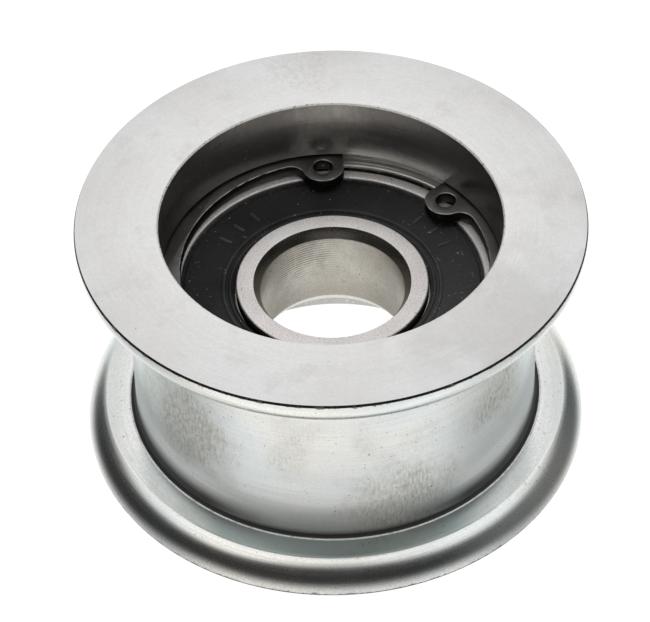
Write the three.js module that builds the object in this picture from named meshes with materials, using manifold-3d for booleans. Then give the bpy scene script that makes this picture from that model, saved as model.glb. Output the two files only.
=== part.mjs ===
// Flanged guide pulley: a turned steel roller on a sealed deep-groove ball bearing.
// Millimetres, +Z along the spin axis, origin at the centre of the pulley.
import * as THREE from "three";
import { mergeVertices } from "three/addons/utils/BufferGeometryUtils.js";
import Module from "manifold-3d";

// ---- Driving dimensions -------------------------------------------------------------------

// Roller
const ROLLER_WIDTH = 37.5;
const FLANGE_R = 35;
const FLANGE_WIDTH = 4.85;
const BELT_FACE_R = 32.2;
const RIM_ROUND_R = 4.4;
const RIM_CHAMFER = { radial: 0.15, axial: 0.35 };
const DRUM_R = 28.2;
const FOOT_R = 29;
const FOOT_SLOPE = Math.PI / 4;
const BORE_R = 23.5;
const BORE_CHAMFER = 0.25;
const SHOULDER_BORE_R = 21.2;
const GROOVE_R = 24.75;
const GROOVE_WIDTH = 2.15;
const GROOVE_ABOVE_BEARING = 0.08;
const SHOULDER_BELOW_BEARING = 0.03;

// Bearing, boundary size 20 x 47 x 14
const BEARING_BORE_R = 10;
const BEARING_HALF_WIDTH = 7;
const BEARING_FIT_GAP = 0.06;
const RING_CHAMFER = 1;
const BORE_CORNER = { radial: 0.9, axial: 1.5 };
const BALL_COUNT = 8;
const BALL_R = 3.969;
const PITCH_R = 16.75;
const GROOVE_CONFORMITY = 1.04;
const BALL_CLEARANCE = 0.12;
const INNER_LAND_R = 14.4;
const OUTER_LAND_R = 19.1;
const LAND_HALF_WIDTH = 5.15;
const INNER_FACE_R = 13.3;
const OUTER_FACE_R = 21.05;
const SNAP_GROOVE = { r: 21.35, top: 6.45 };

// Seals
const SEAL_TOP = 6.35;
const SEAL_UNDERSIDE = 5.75;
const SEAL_SKIRT = 5.25;
const SEAL_LIP_R = 13.6;
const SEAL_RIM_R = 21.2;
const SEAL_INSERT = { inner: 15.1, outer: 20, low: 5.3, gap: 0.05 };

// Cage, two pressed halves with rivets
const CAGE_INNER_R = 15.45;
const CAGE_OUTER_R = 18.05;
const CAGE_SHEET = 0.8;
const CAGE_HALF_GAP = 0.03;
const POCKET_R = 4.15;
const RIVET_R = 0.6;
const RIVET_HOLE_R = 0.75;
const RIVET_HOLE_DEPTH = 4;
const RIVET_HEAD = { r: 1.1, crownR: 0.88, rim: 0.35, height: 0.45, clearance: 0.02 };

// Retaining ring for a 47 mm bore
const CLIP_R = 24.6;
const CLIP_THICKNESS = 1.75;
const CLIP_CLEARANCE = 0.05;
const CLIP_INNER_R = 21.4;
const CLIP_INNER_OFFSET = 1.05;
// Where the middle of the gap between the ears points
const CLIP_GAP_ANGLE = THREE.MathUtils.degToRad(66.3);
const EAR_ANGLE = THREE.MathUtils.degToRad(26);
const EAR_CENTRE_R = 21.3;
const EAR_R = 2.95;
const EAR_HOLE_R = 1.4;
const EAR_FILLET_R = 2;

// Fineness of the round shapes
const ROLLER_STEPS = 48;
const RING_STEPS = 40;
const CAGE_STEPS = 32;
const BALL_STEPS = 16;
const BULGE_STEPS = 12;
const RIVET_STEPS = 8;
const RIM_ROUND_STEPS = 6;
const FOOT_STEPS = 4;
const RACEWAY_STEPS = 5;
const CLIP_OUTER_STEPS = 24;
const CLIP_INNER_STEPS = 18;
const EAR_STEPS = 8;
const FILLET_STEPS = 4;

// ---- Materials ----------------------------------------------------------------------------

const steel = (color, roughness) =>
  new THREE.MeshStandardMaterial({ color, roughness, metalness: 1 });
const rubber = () => new THREE.MeshStandardMaterial({ color: 0x1b1b1c, roughness: 0.75 });
const COLOURS = {
  roller: 0xc9ccc8,
  ring: 0xb9b3b0,
  ball: 0xd8dadc,
  cage: 0xa9a18c,
  clip: 0x2c2b2b,
  insert: 0x9a9c9e,
};

// ---- Helpers ------------------------------------------------------------------------------

const point = (x, y) => new THREE.Vector2(x, y);

// Points along an arc, both ends included.
function arc(x, y, r, from, to, steps) {
  const points = [];
  for (let i = 0; i <= steps; i++) {
    const angle = from + ((to - from) * i) / steps;
    points.push(point(x + r * Math.cos(angle), y + r * Math.sin(angle)));
  }
  return points;
}

// A solid turned about Z from a closed (radius, height) outline, listed anticlockwise.
function turned(outline, steps) {
  const geometry = new THREE.LatheGeometry([...outline, outline[0]], steps);
  return geometry.rotateX(Math.PI / 2);
}

// The outline mirrored to the other side of the bearing, still anticlockwise.
const mirrored = (outline) => outline.map((p) => point(p.x, -p.y)).reverse();

// A sleeve between two radii and two heights.
function sleeve(inner, outer, low, high, steps) {
  return turned([point(inner, low), point(outer, low), point(outer, high), point(inner, high)], steps);
}

const wasm = await Module();
wasm.setup();

function solid(geometry) {
  const bare = geometry.clone();
  bare.deleteAttribute("normal");
  bare.deleteAttribute("uv");
  const merged = mergeVertices(bare, 1e-4);
  const mesh = new wasm.Mesh({
    numProp: 3,
    vertProperties: merged.attributes.position.array,
    triVerts: new Uint32Array(merged.index.array),
  });
  return new wasm.Manifold(mesh);
}

function geometryOf(manifold) {
  const { vertProperties, triVerts } = manifold.getMesh();
  const geometry = new THREE.BufferGeometry();
  geometry.setAttribute("position", new THREE.BufferAttribute(vertProperties, 3));
  geometry.setIndex(new THREE.BufferAttribute(triVerts, 1));
  geometry.computeVertexNormals();
  return geometry;
}

const assembly = new THREE.Group();

function add(name, geometry, material) {
  const mesh = new THREE.Mesh(geometry, material);
  mesh.name = name;
  assembly.add(mesh);
  return mesh;
}

// ---- Roller -------------------------------------------------------------------------------

const HALF_WIDTH = ROLLER_WIDTH / 2;
const CLIP_SEAT = BEARING_HALF_WIDTH + GROOVE_ABOVE_BEARING;
const SHOULDER_FACE = -BEARING_HALF_WIDTH - SHOULDER_BELOW_BEARING;

// The outside of one flange from the foot of the drum to its outer face, for the upper flange.
function flangeOutline() {
  const beltFace = HALF_WIDTH - FLANGE_WIDTH;
  const footRoundR = (FOOT_R - DRUM_R) / (1 - Math.cos(FOOT_SLOPE));
  const footStart = beltFace - footRoundR * Math.sin(FOOT_SLOPE);
  const roundCentreR = FLANGE_R - RIM_ROUND_R;
  const roundStart = -Math.acos((BELT_FACE_R - roundCentreR) / RIM_ROUND_R);
  const roundCentreZ = beltFace - RIM_ROUND_R * Math.sin(roundStart);
  return [
    ...arc(DRUM_R + footRoundR, footStart, footRoundR, Math.PI, Math.PI - FOOT_SLOPE, FOOT_STEPS),
    ...arc(roundCentreR, roundCentreZ, RIM_ROUND_R, roundStart, 0, RIM_ROUND_STEPS),
    point(FLANGE_R, HALF_WIDTH - RIM_CHAMFER.axial),
    point(FLANGE_R - RIM_CHAMFER.radial, HALF_WIDTH),
  ];
}

function rollerOutline() {
  const upper = flangeOutline();
  return [
    point(SHOULDER_BORE_R + BORE_CHAMFER, -HALF_WIDTH),
    ...mirrored(upper),
    ...upper,
    point(BORE_R + BORE_CHAMFER, HALF_WIDTH),
    point(BORE_R, HALF_WIDTH - BORE_CHAMFER),
    point(BORE_R, CLIP_SEAT + GROOVE_WIDTH),
    point(GROOVE_R, CLIP_SEAT + GROOVE_WIDTH),
    point(GROOVE_R, CLIP_SEAT),
    point(BORE_R, CLIP_SEAT),
    point(BORE_R, SHOULDER_FACE),
    point(SHOULDER_BORE_R, SHOULDER_FACE),
    point(SHOULDER_BORE_R, -HALF_WIDTH + BORE_CHAMFER),
  ];
}

add("roller_body", turned(rollerOutline(), ROLLER_STEPS), steel(COLOURS.roller, 0.3));

// ---- Bearing rings ------------------------------------------------------------------------

const RACEWAY_R = BALL_R * GROOVE_CONFORMITY;
const RACEWAY_OFFSET = RACEWAY_R - BALL_R - BALL_CLEARANCE;

// Half angle of a raceway arc, from its deepest point to the land.
const racewayAngle = (landDistance) => Math.acos(landDistance / RACEWAY_R);

function outerRingOutline() {
  const outerR = BORE_R - BEARING_FIT_GAP;
  const centre = PITCH_R - RACEWAY_OFFSET;
  const half = racewayAngle(OUTER_LAND_R - centre);
  const upper = [
    point(outerR, BEARING_HALF_WIDTH - RING_CHAMFER),
    point(outerR - RING_CHAMFER, BEARING_HALF_WIDTH),
    point(OUTER_FACE_R, BEARING_HALF_WIDTH),
    point(OUTER_FACE_R, SNAP_GROOVE.top),
    point(SNAP_GROOVE.r, SNAP_GROOVE.top),
    point(SNAP_GROOVE.r, LAND_HALF_WIDTH),
    point(OUTER_LAND_R, LAND_HALF_WIDTH),
  ];
  return [...upper, ...arc(centre, 0, RACEWAY_R, half, -half, RACEWAY_STEPS), ...mirrored(upper)];
}

function innerRingOutline() {
  const centre = PITCH_R + RACEWAY_OFFSET;
  const half = racewayAngle(centre - INNER_LAND_R);
  const upper = [
    point(INNER_LAND_R, LAND_HALF_WIDTH),
    point(INNER_FACE_R, LAND_HALF_WIDTH),
    point(INNER_FACE_R, BEARING_HALF_WIDTH),
    point(BEARING_BORE_R + BORE_CORNER.radial, BEARING_HALF_WIDTH),
    point(BEARING_BORE_R + BORE_CORNER.radial / 3, BEARING_HALF_WIDTH - BORE_CORNER.axial / 3),
    point(BEARING_BORE_R, BEARING_HALF_WIDTH - BORE_CORNER.axial),
  ];
  return [
    ...upper,
    ...mirrored(upper),
    ...arc(centre, 0, RACEWAY_R, Math.PI + half, Math.PI - half, RACEWAY_STEPS),
  ];
}

add("outer_ring", turned(outerRingOutline(), RING_STEPS), steel(COLOURS.ring, 0.35));
add("inner_ring", turned(innerRingOutline(), RING_STEPS), steel(COLOURS.ring, 0.35));

// ---- Seals --------------------------------------------------------------------------------

// Rubber of the upper seal: a channel open towards the balls.
function sealOutline() {
  return [
    point(SEAL_LIP_R, SEAL_SKIRT),
    point(SEAL_INSERT.inner - SEAL_INSERT.gap, SEAL_SKIRT),
    point(SEAL_INSERT.inner - SEAL_INSERT.gap, SEAL_UNDERSIDE),
    point(SEAL_INSERT.outer + SEAL_INSERT.gap, SEAL_UNDERSIDE),
    point(SEAL_INSERT.outer + SEAL_INSERT.gap, SEAL_SKIRT),
    point(SEAL_RIM_R, SEAL_SKIRT),
    point(SEAL_RIM_R, SEAL_TOP),
    point(SEAL_LIP_R, SEAL_TOP),
  ];
}

function insertOutline() {
  const { inner, outer, low, gap } = SEAL_INSERT;
  const high = SEAL_UNDERSIDE - gap;
  return [point(inner, low), point(outer, low), point(outer, high), point(inner, high)];
}

add("seal_rubber_upper", turned(sealOutline(), RING_STEPS), rubber());
add("seal_rubber_lower", turned(mirrored(sealOutline()), RING_STEPS), rubber());
add("seal_insert_upper", turned(insertOutline(), RING_STEPS), steel(COLOURS.insert, 0.5));
add("seal_insert_lower", turned(mirrored(insertOutline()), RING_STEPS), steel(COLOURS.insert, 0.5));

// ---- Balls, cage and rivets ---------------------------------------------------------------

const BALL_PITCH = (2 * Math.PI) / BALL_COUNT;

const onPitchCircle = (angle) =>
  new THREE.Vector3(PITCH_R * Math.cos(angle), PITCH_R * Math.sin(angle), 0);

// A sphere with its poles on Z.
const sphere = (r, steps) => new THREE.SphereGeometry(r, steps, steps / 2).rotateX(Math.PI / 2);

for (let i = 0; i < BALL_COUNT; i++) {
  const ball = add(`ball_${i + 1}`, sphere(BALL_R, BALL_STEPS), steel(COLOURS.ball, 0.08));
  ball.position.copy(onPitchCircle(i * BALL_PITCH));
}

// Upper half of the cage: a flat strip that bulges over each ball, with a rivet hole between balls.
function cageHalf() {
  const ring = (height) => solid(sleeve(CAGE_INNER_R, CAGE_OUTER_R, CAGE_HALF_GAP, height, CAGE_STEPS));
  const band = ring(BEARING_HALF_WIDTH);
  const bulge = sphere(POCKET_R + CAGE_SHEET, BULGE_STEPS);
  const pocket = sphere(POCKET_R, BALL_STEPS);
  const hole = new THREE.CylinderGeometry(RIVET_HOLE_R, RIVET_HOLE_R, RIVET_HOLE_DEPTH, RIVET_STEPS);
  hole.rotateX(Math.PI / 2);
  const placed = (shape, step) => solid(shape.clone().translate(...onPitchCircle(step * BALL_PITCH)));
  let half = ring(CAGE_HALF_GAP + CAGE_SHEET);
  for (let i = 0; i < BALL_COUNT; i++) {
    half = half.add(placed(bulge, i).intersect(band));
  }
  for (let i = 0; i < BALL_COUNT; i++) {
    half = half.subtract(placed(pocket, i)).subtract(placed(hole, i + 0.5));
  }
  return geometryOf(half);
}

add("cage_upper", cageHalf(), steel(COLOURS.cage, 0.4));
add("cage_lower", cageHalf().rotateX(Math.PI), steel(COLOURS.cage, 0.4));

function rivetOutline() {
  const seat = CAGE_HALF_GAP + CAGE_SHEET + RIVET_HEAD.clearance;
  const upper = [
    point(RIVET_R, seat),
    point(RIVET_HEAD.r, seat),
    point(RIVET_HEAD.crownR, seat + RIVET_HEAD.rim),
    point(0, seat + RIVET_HEAD.height),
  ];
  return [...mirrored(upper), ...upper];
}

for (let i = 0; i < BALL_COUNT; i++) {
  const shape = new THREE.LatheGeometry(rivetOutline(), RIVET_STEPS).rotateX(Math.PI / 2);
  const rivet = add(`cage_rivet_${i + 1}`, shape, steel(COLOURS.cage, 0.35));
  rivet.position.copy(onPitchCircle((i + 0.5) * BALL_PITCH));
}

// ---- Retaining ring -----------------------------------------------------------------------

// Centre of the ear on one side of the gap, with the gap on +X.
const earCentre = (side) =>
  point(EAR_CENTRE_R * Math.cos(EAR_ANGLE), side * EAR_CENTRE_R * Math.sin(EAR_ANGLE));

// The crossing point of two circles that lies anticlockwise of the first centre's line to the second.
function circleMeeting(a, ra, b, rb) {
  const along = point(b.x - a.x, b.y - a.y);
  const distance = along.length();
  along.normalize();
  const base = (ra ** 2 - rb ** 2 + distance ** 2) / (2 * distance);
  const height = Math.sqrt(ra ** 2 - base ** 2);
  return point(a.x + along.x * base - along.y * height, a.y + along.y * base + along.x * height);
}

// Half of the ring's outline, along its inner edge from the back to the ear, then back outside.
// The inner edge is a circle that sits nearer the gap, so the ring is widest at its back.
function clipHalfOutline() {
  const ear = earCentre(1);
  const inner = point(CLIP_INNER_OFFSET, 0);
  const fillet = circleMeeting(inner, CLIP_INNER_R - EAR_FILLET_R, ear, EAR_R + EAR_FILLET_R);
  const innerEnd = Math.atan2(fillet.y - inner.y, fillet.x - inner.x);
  const filletEnd = Math.atan2(ear.y - fillet.y, ear.x - fillet.x);
  const lobeStart = filletEnd + Math.PI;
  const lobeEnd = EAR_ANGLE - Math.PI / 2 + 2 * Math.PI;
  const endFaceR = Math.sqrt(CLIP_R ** 2 - EAR_R ** 2);
  const outerStart = EAR_ANGLE - Math.atan2(EAR_R, endFaceR);
  return [
    ...arc(inner.x, inner.y, CLIP_INNER_R, Math.PI, innerEnd, CLIP_INNER_STEPS),
    ...arc(fillet.x, fillet.y, EAR_FILLET_R, innerEnd, filletEnd, FILLET_STEPS),
    ...arc(ear.x, ear.y, EAR_R, lobeStart, lobeEnd, EAR_STEPS),
    ...arc(0, 0, CLIP_R, outerStart, Math.PI, CLIP_OUTER_STEPS),
  ];
}

function clipGeometry() {
  const half = clipHalfOutline();
  const otherHalf = half.map((p) => point(p.x, -p.y)).reverse();
  const outline = new THREE.Shape([...half, ...otherHalf.slice(1, -1)]);
  for (const side of [1, -1]) {
    const centre = earCentre(side);
    outline.holes.push(new THREE.Path().absarc(centre.x, centre.y, EAR_HOLE_R, 0, 2 * Math.PI, true));
  }
  return new THREE.ExtrudeGeometry(outline, {
    depth: CLIP_THICKNESS,
    curveSegments: EAR_STEPS,
    bevelEnabled: false,
  });
}

const clip = add("retaining_ring", clipGeometry(), steel(COLOURS.clip, 0.45));
clip.rotation.z = CLIP_GAP_ANGLE;
clip.position.z = CLIP_SEAT + CLIP_CLEARANCE;

export default assembly;
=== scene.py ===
"""Looks of the flanged guide pulley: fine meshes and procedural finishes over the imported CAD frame.

Lengths are in millimetres and become metres where a mesh is made. +Z is the spin axis.
"""

import math

import bmesh
import bpy
from mathutils import Matrix, Vector


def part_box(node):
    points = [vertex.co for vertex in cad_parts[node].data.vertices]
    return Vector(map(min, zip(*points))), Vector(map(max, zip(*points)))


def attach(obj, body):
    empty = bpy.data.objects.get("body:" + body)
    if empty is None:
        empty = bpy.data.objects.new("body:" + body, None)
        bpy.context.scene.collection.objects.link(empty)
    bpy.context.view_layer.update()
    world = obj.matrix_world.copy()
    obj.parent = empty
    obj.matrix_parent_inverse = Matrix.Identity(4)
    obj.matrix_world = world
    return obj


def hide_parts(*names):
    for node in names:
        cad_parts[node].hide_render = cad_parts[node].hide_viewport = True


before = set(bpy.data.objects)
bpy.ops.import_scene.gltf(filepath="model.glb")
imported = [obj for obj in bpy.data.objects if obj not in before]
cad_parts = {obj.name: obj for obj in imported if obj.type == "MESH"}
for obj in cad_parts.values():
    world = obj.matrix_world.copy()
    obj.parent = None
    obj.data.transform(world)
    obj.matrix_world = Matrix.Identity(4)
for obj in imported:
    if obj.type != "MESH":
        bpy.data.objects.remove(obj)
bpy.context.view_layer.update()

MM = 0.001
FULL_TURN = 2 * math.pi


def size_mm(node):
    """Radius and lowest and highest height of a CAD node that is turned about Z."""
    low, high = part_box(node)
    return high.x / MM, low.z / MM, high.z / MM


# ---- Sizes, from the frame and the few that its boxes don't show ---------------------------

FLANGE_R, BOTTOM, TOP = size_mm("roller_body")
FLANGE_WIDTH = 4.85
BELT_FACE_R = 32.2
RIM_ROUND_R = 4.4
RIM_CHAMFER_R = 0.15
RIM_CHAMFER_Z = 0.35
DRUM_R = 28.2
FOOT_R = 29.0
FOOT_SLOPE = math.radians(58)
FOOT_LIP = 0.13
BORE_R = 23.5
SHOULDER_BORE_R = 21.2
BORE_CHAMFER = 0.25
GROOVE_R = 24.75
GROOVE_WIDTH = 2.15
GROOVE_ABOVE_BEARING = 0.08
SHOULDER_BELOW_BEARING = 0.03

OUTER_RING_R, _, BEARING_TOP = size_mm("outer_ring")
RING_CORNER = 1.0
OUTER_FACE_R = 21.05
OUTER_LAND_R = 19.1
SNAP_GROOVE_R = 21.35
SNAP_GROOVE_TOP = 6.45
LAND_TOP = 5.15
INNER_LAND_R = size_mm("inner_ring")[0]
INNER_FACE_R = 13.3
BEARING_BORE_R = 10.0
BORE_CORNER_R = 0.9
BORE_CORNER_Z = 1.5

BALL_COUNT = 8
PITCH_R = 16.75
BALL_R = size_mm("ball_1")[0] - PITCH_R
RACEWAY_R = BALL_R * 1.04
RACEWAY_OFFSET = RACEWAY_R - BALL_R - 0.12

SEAL_R, SEAL_SKIRT, SEAL_TOP = size_mm("seal_rubber_upper")
SEAL_LIP_R = 13.6
SEAL_UNDERSIDE = 5.75
INSERT_R, INSERT_LOW, INSERT_TOP = size_mm("seal_insert_upper")
INSERT_INNER_R = 15.1

CAGE_R = 18.05
CAGE_INNER_R = 15.45
CAGE_SHEET = 0.8
CAGE_HALF_GAP = 0.03
POCKET_R = 4.15
RIVET_R = 0.6
RIVET_HEAD_R = 1.1
RIVET_SEAT_GAP = 0.02
RIVET_TOP = size_mm("cage_rivet_1")[2]

CLIP_R = 24.6
CLIP_LOW, CLIP_TOP = size_mm("retaining_ring")[1:]
CLIP_INNER_R = 21.4
CLIP_INNER_OFFSET = 1.05
CLIP_GAP_ANGLE = math.radians(66.3)
EAR_ANGLE = math.radians(26)
EAR_CENTRE_R = 21.3
EAR_R = 2.95
EAR_HOLE_R = 1.4
EAR_FILLET_R = 2.0
CLIP_EDGE = 0.12

BELT_FACE = TOP - FLANGE_WIDTH
CLIP_SEAT = BEARING_TOP + GROOVE_ABOVE_BEARING
SHOULDER_FACE = -BEARING_TOP - SHOULDER_BELOW_BEARING

STEPS = 256

# ---- Materials ------------------------------------------------------------------------------

RANGE_SOCKETS = ("From Min", "From Max", "To Min", "To Max")
# The Mix node's colour inputs and output. It has more sockets of the same names.
MIX_FROM = 6
MIX_TO = 7
MIX_RESULT = 2

# How much of x and y goes into the rings of a turned surface, so that they change on the way round.
RING_DRIFT = 0.015

# Spots that differ from the rest of a surface: angle in degrees, radius, height and reach.
# The first spot is a patch of painted shade on the upper flange face.
FACE_PAINTED_SHADE = (-42, 29, TOP, 17)
FACE_SOIL = (97, 31, TOP, 7)
# This spot is a painted pool of light at the back of the roller's bore.
BORE_PAINTED_LIGHT = (88, BORE_R, 11.5, 9)
BORE_ARCS = (127, BEARING_BORE_R, 4.2, 8)
DRUM_STAINS = ((-137, DRUM_R, 0, 10), (-72, DRUM_R, -9, 10), (-38, DRUM_R, 2, 7))

# Height from one turning line to the next, in the bearing's bore and in the retaining ring's groove.
ARC_PITCH = 0.43
LINE_PITCH = 0.62


class Shader:
    """One node material on a Principled shader, worked in millimetres of the piece's own frame."""

    def __init__(self, name, roughness=0.4, metallic=1.0):
        self.material = bpy.data.materials.new(name)
        self.material.use_nodes = True
        self.nodes = self.material.node_tree.nodes
        self.links = self.material.node_tree.links
        self.surface = self.nodes["Principled BSDF"]
        self.surface.inputs["Metallic"].default_value = metallic
        self.surface.inputs["Roughness"].default_value = roughness
        self.place = self.scaled(self.node("ShaderNodeTexCoord").outputs["Object"], 1 / MM)

    def node(self, kind, **settings):
        made = self.nodes.new(kind)
        for key, value in settings.items():
            setattr(made, key, value)
        return made

    def feed(self, socket, value):
        if isinstance(value, bpy.types.NodeSocket):
            self.links.new(value, socket)
        else:
            socket.default_value = value

    def math(self, operation, a, b=0.0):
        made = self.node("ShaderNodeMath", operation=operation)
        self.feed(made.inputs[0], a)
        self.feed(made.inputs[1], b)
        return made.outputs[0]

    def plus(self, a, b):
        return self.math("ADD", a, b)

    def times(self, a, b):
        return self.math("MULTIPLY", a, b)

    def scaled(self, vector, amount):
        made = self.node("ShaderNodeVectorMath", operation="SCALE")
        self.feed(made.inputs[0], vector)
        made.inputs["Scale"].default_value = amount
        return made.outputs[0]

    def axes(self):
        split = self.node("ShaderNodeSeparateXYZ")
        self.feed(split.inputs[0], self.place)
        return split.outputs

    def joined(self, x, y, z):
        made = self.node("ShaderNodeCombineXYZ")
        for socket, value in zip(made.inputs, (x, y, z)):
            self.feed(socket, value)
        return made.outputs[0]

    def radius(self):
        x, y, _ = self.axes()
        return self.math("SQRT", self.plus(self.times(x, x), self.times(y, y)))

    def turned_place(self):
        """Radius and height, which turn a noise into rings, with a little of x and y to vary them."""
        x, y, z = self.axes()
        return self.joined(self.radius(), self.times(x, RING_DRIFT), z), self.times(y, RING_DRIFT)

    def tall_place(self, squeeze=0.6):
        """The place with its height squeezed, so that a noise over it is drawn out along the axis."""
        x, y, z = self.axes()
        return self.joined(x, y, self.times(z, squeeze))

    def noise(self, scale, detail, place=None, roughness=0.5, seed=0.0):
        """A noise over the piece's place or another one, which may come with its own drift."""
        made = self.node("ShaderNodeTexNoise", noise_dimensions="4D")
        place, drift = place if isinstance(place, tuple) else (place or self.place, None)
        self.feed(made.inputs["Vector"], place)
        self.feed(made.inputs["W"], self.plus(drift, seed) if drift else seed)
        made.inputs["Scale"].default_value = scale
        made.inputs["Detail"].default_value = detail
        made.inputs["Roughness"].default_value = roughness
        return made.outputs["Fac"]

    def span(self, value, low, high, to_low=0.0, to_high=1.0):
        """The value between low and high, brought to between to_low and to_high and held there."""
        made = self.node("ShaderNodeMapRange", clamp=True)
        self.feed(made.inputs["Value"], value)
        for key, number in zip(RANGE_SOCKETS, (low, high, to_low, to_high)):
            made.inputs[key].default_value = number
        return made.outputs["Result"]

    def mix(self, share, a, b):
        """The colour a with a share of b."""
        made = self.node("ShaderNodeMix", data_type="RGBA")
        self.feed(made.inputs["Factor"], share)
        self.feed(made.inputs[MIX_FROM], a if isinstance(a, bpy.types.NodeSocket) else (*a, 1.0))
        self.feed(made.inputs[MIX_TO], b if isinstance(b, bpy.types.NodeSocket) else (*b, 1.0))
        return made.outputs[MIX_RESULT]

    def colour(self, value):
        self.feed(self.surface.inputs["Base Color"], value)

    def roughness(self, value):
        self.feed(self.surface.inputs["Roughness"], value)

    def grazing(self, tint):
        """How bright the metal is at a glancing angle, under the full white of clean metal."""
        self.surface.inputs["Specular Tint"].default_value = (tint, tint, tint, 1)

    def near(self, turn, radius, height, reach):
        """1 at a spot given by its angle in degrees, radius and height, falling to 0 round a ragged reach."""
        angle = math.radians(turn)
        made = self.node("ShaderNodeVectorMath", operation="DISTANCE")
        self.feed(made.inputs[0], self.place)
        made.inputs[1].default_value = (radius * math.cos(angle), radius * math.sin(angle), height)
        wander = self.times(self.noise(0.22, 3.0, seed=27.0, roughness=0.6), 1.6 * reach)
        distance = self.plus(made.outputs["Value"], wander)
        return self.span(distance, reach * 1.8, reach * 1.15)

    def bump(self, *layers):
        """Each layer is (height socket, depth in millimetres)."""
        normal = None
        for height, depth in layers:
            made = self.node("ShaderNodeBump")
            made.inputs["Distance"].default_value = depth * MM
            self.feed(made.inputs["Height"], height)
            if normal:
                self.feed(made.inputs["Normal"], normal)
            normal = made.outputs["Normal"]
        self.feed(self.surface.inputs["Normal"], normal)


def faced_steel():
    """The flanges' outer faces: bare, turned in fine rings, paler near the bore, a little smudged, with a
    patch of painted shade on the upper one.
    """
    s = Shader("faced_steel")
    rings = s.turned_place()
    fine = s.noise(7.0, 2.0, rings, 0.6, seed=1.0)
    broad = s.noise(0.08, 3.0, seed=2.0)
    pale = s.span(s.radius(), BORE_R, FLANGE_R)
    outer = s.mix(s.span(broad, 0.38, 0.62), (0.735, 0.725, 0.715), (0.8, 0.81, 0.81))
    tone = s.mix(pale, (0.87, 0.865, 0.855), outer)
    smudge = s.span(s.noise(0.16, 4.0, seed=4.0, roughness=0.65), 0.54, 0.7, 0.0, 0.3)
    tone = s.mix(smudge, tone, (0.5, 0.47, 0.45))
    grain = s.noise(2.6, 4.0, seed=19.0, roughness=0.7)
    tone = s.mix(s.span(grain, 0.35, 0.7, 0.0, 0.22), tone, (0.45, 0.44, 0.43))
    specks = s.span(s.noise(1.7, 2.0, seed=10.0), 0.72, 0.76, 0.0, 0.5)
    tone = s.mix(specks, tone, (0.2, 0.18, 0.17))
    # Painted shade: a darker patch on the upper face, towards -42 degrees.
    tone = s.mix(s.times(s.near(*FACE_PAINTED_SHADE), 0.3), tone, (0.42, 0.41, 0.4))
    blotch = s.span(s.noise(1.5, 4.0, seed=18.0, roughness=0.7), 0.4, 0.65, 0.0, 0.3)
    soiled = s.times(s.near(*FACE_SOIL), blotch)
    tone = s.mix(soiled, tone, (0.45, 0.41, 0.37))
    ringed = s.span(s.noise(0.11, 2.0, seed=16.0), 0.4, 0.6, 0.04, 0.13)
    s.colour(s.mix(s.times(ringed, s.span(fine, 0.35, 0.65)), tone, (0.42, 0.41, 0.41)))
    s.roughness(s.span(fine, 0.3, 0.7, 0.3, 0.42))
    s.bump((fine, 0.006), (grain, 0.006))
    return s.material


def rim_marks(s, tone, z, mottle):
    """Darkens the lower flange's widest part in mottled patches, and adds torn spots beside its outer corner.
    """
    outside = s.times(s.span(s.radius(), FLANGE_R - 0.7, FLANGE_R), s.span(z, 0, -BELT_FACE))
    tone = s.mix(s.times(outside, s.span(mottle, 0.3, 0.6, 0.1, 0.5)), tone, (0.38, 0.36, 0.32))
    corner_near = s.span(s.math("ABSOLUTE", z), TOP - 0.85, TOP - RIM_CHAMFER_Z, 0.0, 0.3)
    torn = s.plus(s.noise(0.9, 4.0, seed=9.0, roughness=0.7), corner_near)
    return s.mix(s.span(torn, 0.74, 0.82, 0.0, 0.8), tone, (0.09, 0.085, 0.08))


def foot_shade(s, tone, z, aside):
    """Paints shade on the drum's foot, where it flares out and, beside the middle, a little above that."""
    flare = s.span(s.radius(), DRUM_R + 0.02, DRUM_R + 0.33, 0.0, 0.96)
    above = s.span(z, 3.8 - BELT_FACE, 1.2 - BELT_FACE, 0.0, 0.85)
    dark = s.math("MAXIMUM", flare, s.times(above, s.span(aside, 8, 18)))
    return s.mix(dark, tone, (0.025, 0.025, 0.022))


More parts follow.
